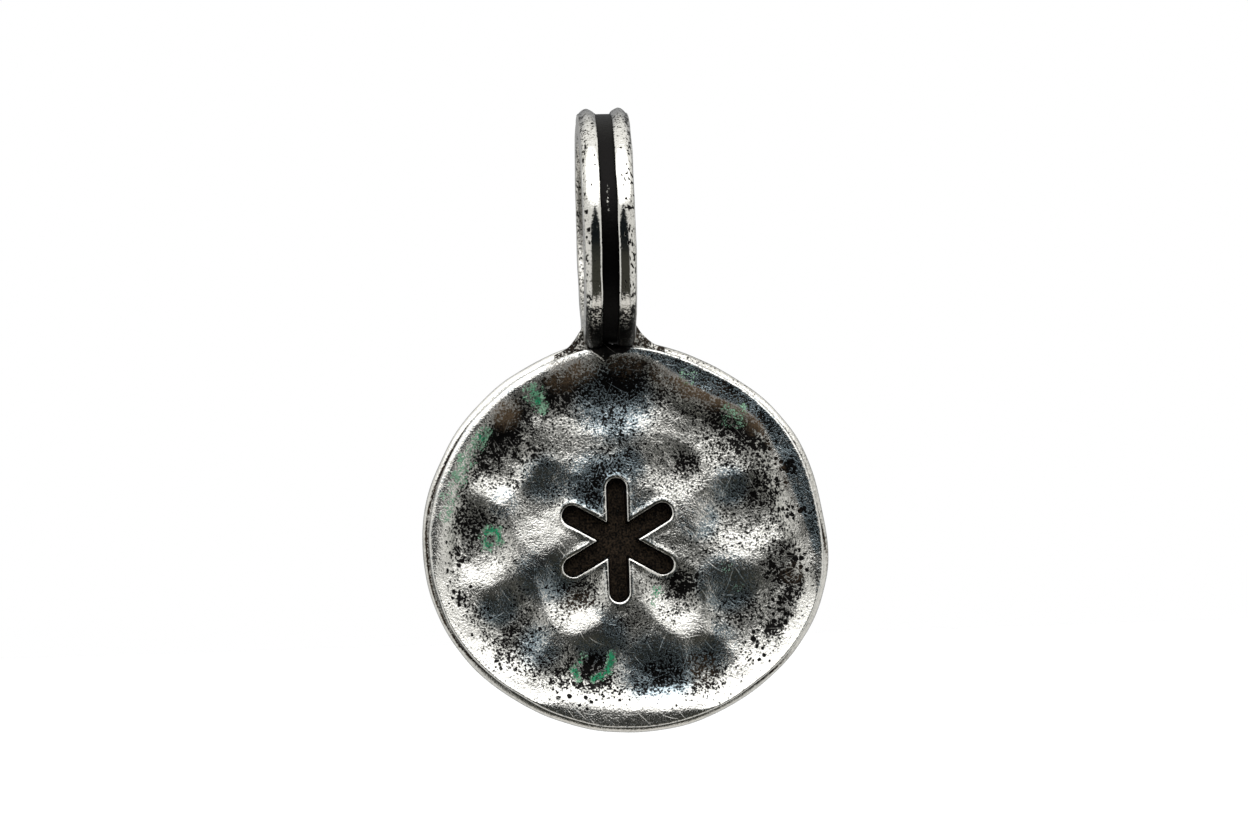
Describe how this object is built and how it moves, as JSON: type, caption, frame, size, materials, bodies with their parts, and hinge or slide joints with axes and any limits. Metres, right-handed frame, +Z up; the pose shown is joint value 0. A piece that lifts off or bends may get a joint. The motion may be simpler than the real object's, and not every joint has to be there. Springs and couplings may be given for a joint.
{
  "type": "disc pendant charm",
  "caption": "Hammered, darkened silver disc pendant with a star pierced through its face and a grooved ring bail soldered on top.",
  "frame": {"origin": "centre of the bail's bore, which hangs on a chain", "axes": "+X along the bail's bore, -Y out of the hammered face, +Z up as the pendant hangs"},
  "size_m": [0.0201, 0.012, 0.031],
  "materials": {
    "hammered_silver": "hammered sterling silver, darkened by oxide in the hollows and rubbed bright on the ridges",
    "plain_silver": "plain rolled sterling silver, darkened",
    "polished_silver": "polished sterling silver with small casting pits",
    "black_oxide": "sterling silver blackened all over its outside",
    "dark_solder": "rough silver solder, darkened and slightly brown"
  },
  "bodies": {
    "root": {"face_plate": "hammered_silver", "plate_solder": "dark_solder", "back_plate": "plain_silver", "bail_band": "black_oxide", "bail_rail_left": "polished_silver", "bail_rail_right": "polished_silver", "solder_fillet_left": "dark_solder", "solder_fillet_right": "dark_solder", "solder_bead_front": "dark_solder"}
  },
  "joints": []
}
